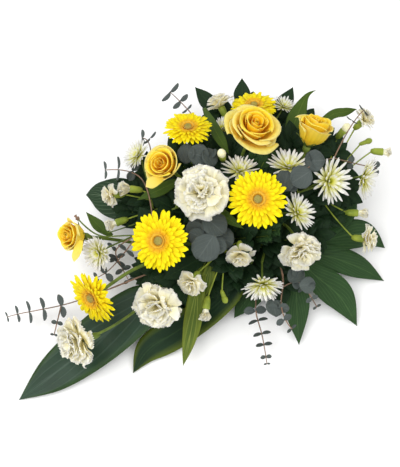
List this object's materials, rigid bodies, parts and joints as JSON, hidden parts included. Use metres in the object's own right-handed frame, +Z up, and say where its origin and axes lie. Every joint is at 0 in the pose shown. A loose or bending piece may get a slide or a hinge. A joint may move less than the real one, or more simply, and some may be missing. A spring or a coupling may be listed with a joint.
{
  "type": "casket spray",
  "caption": "Single-ended casket spray of yellow gerberas, golden roses and white blooms in dark foliage, standing in a foam brick on a low tray.",
  "frame": {"origin": "on the surface under the middle of the tray", "axes": "+Z up, +X to the right and +Y away from someone at the front of the spray; the pointed tail runs towards -X and -Y"},
  "size_m": [0.6025, 0.5215, 0.2225],
  "materials": {
    "yellow_petal": "satin petal",
    "gold_petal": "satin petal",
    "white_petal": "satin petal",
    "stem_green": "matte stem",
    "leaf_green": "waxy leaf",
    "eucalyptus_grey": "matte leaf",
    "tray_green": "moulded plastic",
    "foam_green": "fine open foam"
  },
  "bodies": {
    "root": {"carnation_centre": "white_petal", "carnation_centre_stem": "stem_green", "carnation_front": "white_petal", "carnation_front_stem": "stem_green", "carnation_right": "white_petal", "carnation_right_stem": "stem_green", "carnation_tail": "white_petal", "carnation_tail_stem": "stem_green", "eucalyptus_centre": "eucalyptus_grey", "eucalyptus_front": "eucalyptus_grey", "eucalyptus_front_right": "eucalyptus_grey", "eucalyptus_left": "eucalyptus_grey", "eucalyptus_right": "eucalyptus_grey", "eucalyptus_tail": "eucalyptus_grey", "eucalyptus_top": "eucalyptus_grey", "foam_block": "foam_green", "gerbera_back": "yellow_petal", "gerbera_back_left": "yellow_petal", "gerbera_back_left_stem": "stem_green", "gerbera_back_stem": "stem_green", "gerbera_centre": "yellow_petal", "gerbera_centre_stem": "stem_green", "gerbera_left": "yellow_petal", "gerbera_left_stem": "stem_green", "gerbera_tail": "yellow_petal", "gerbera_tail_stem": "stem_green", "leaf_blades": "leaf_green", "leaf_broad_left": "leaf_green", "leaf_fatsia": "leaf_green", "leaf_margined": "leaf_green", "leaf_tail": "leaf_green", "leaves_back": "leaf_green", "leaves_left": "leaf_green", "leaves_right": "leaf_green", "mum_back_left": "white_petal", "mum_back_right": "white_petal", "mum_centre": "white_petal", "mum_centre_right": "white_petal", "mum_far_right": "white_petal", "mum_front": "white_petal", "mum_left": "white_petal", "mum_right": "white_petal", "mum_spray_back": "white_petal", "mum_stem_centre": "stem_green", "mum_stem_front": "stem_green", "mum_stem_left": "stem_green", "mum_stem_right": "stem_green", "rose_back": "gold_petal", "rose_back_stem": "stem_green", "rose_left": "gold_petal", "rose_left_stem": "stem_green", "rose_right": "gold_petal", "rose_right_stem": "stem_green", "rose_tail": "gold_petal", "rose_tail_stem": "stem_green", "spray_carnation_back": "white_petal", "spray_carnation_front": "white_petal", "spray_carnation_left": "white_petal", "spray_carnation_right": "white_petal", "spray_tray": "tray_green"}
  },
  "joints": []
}
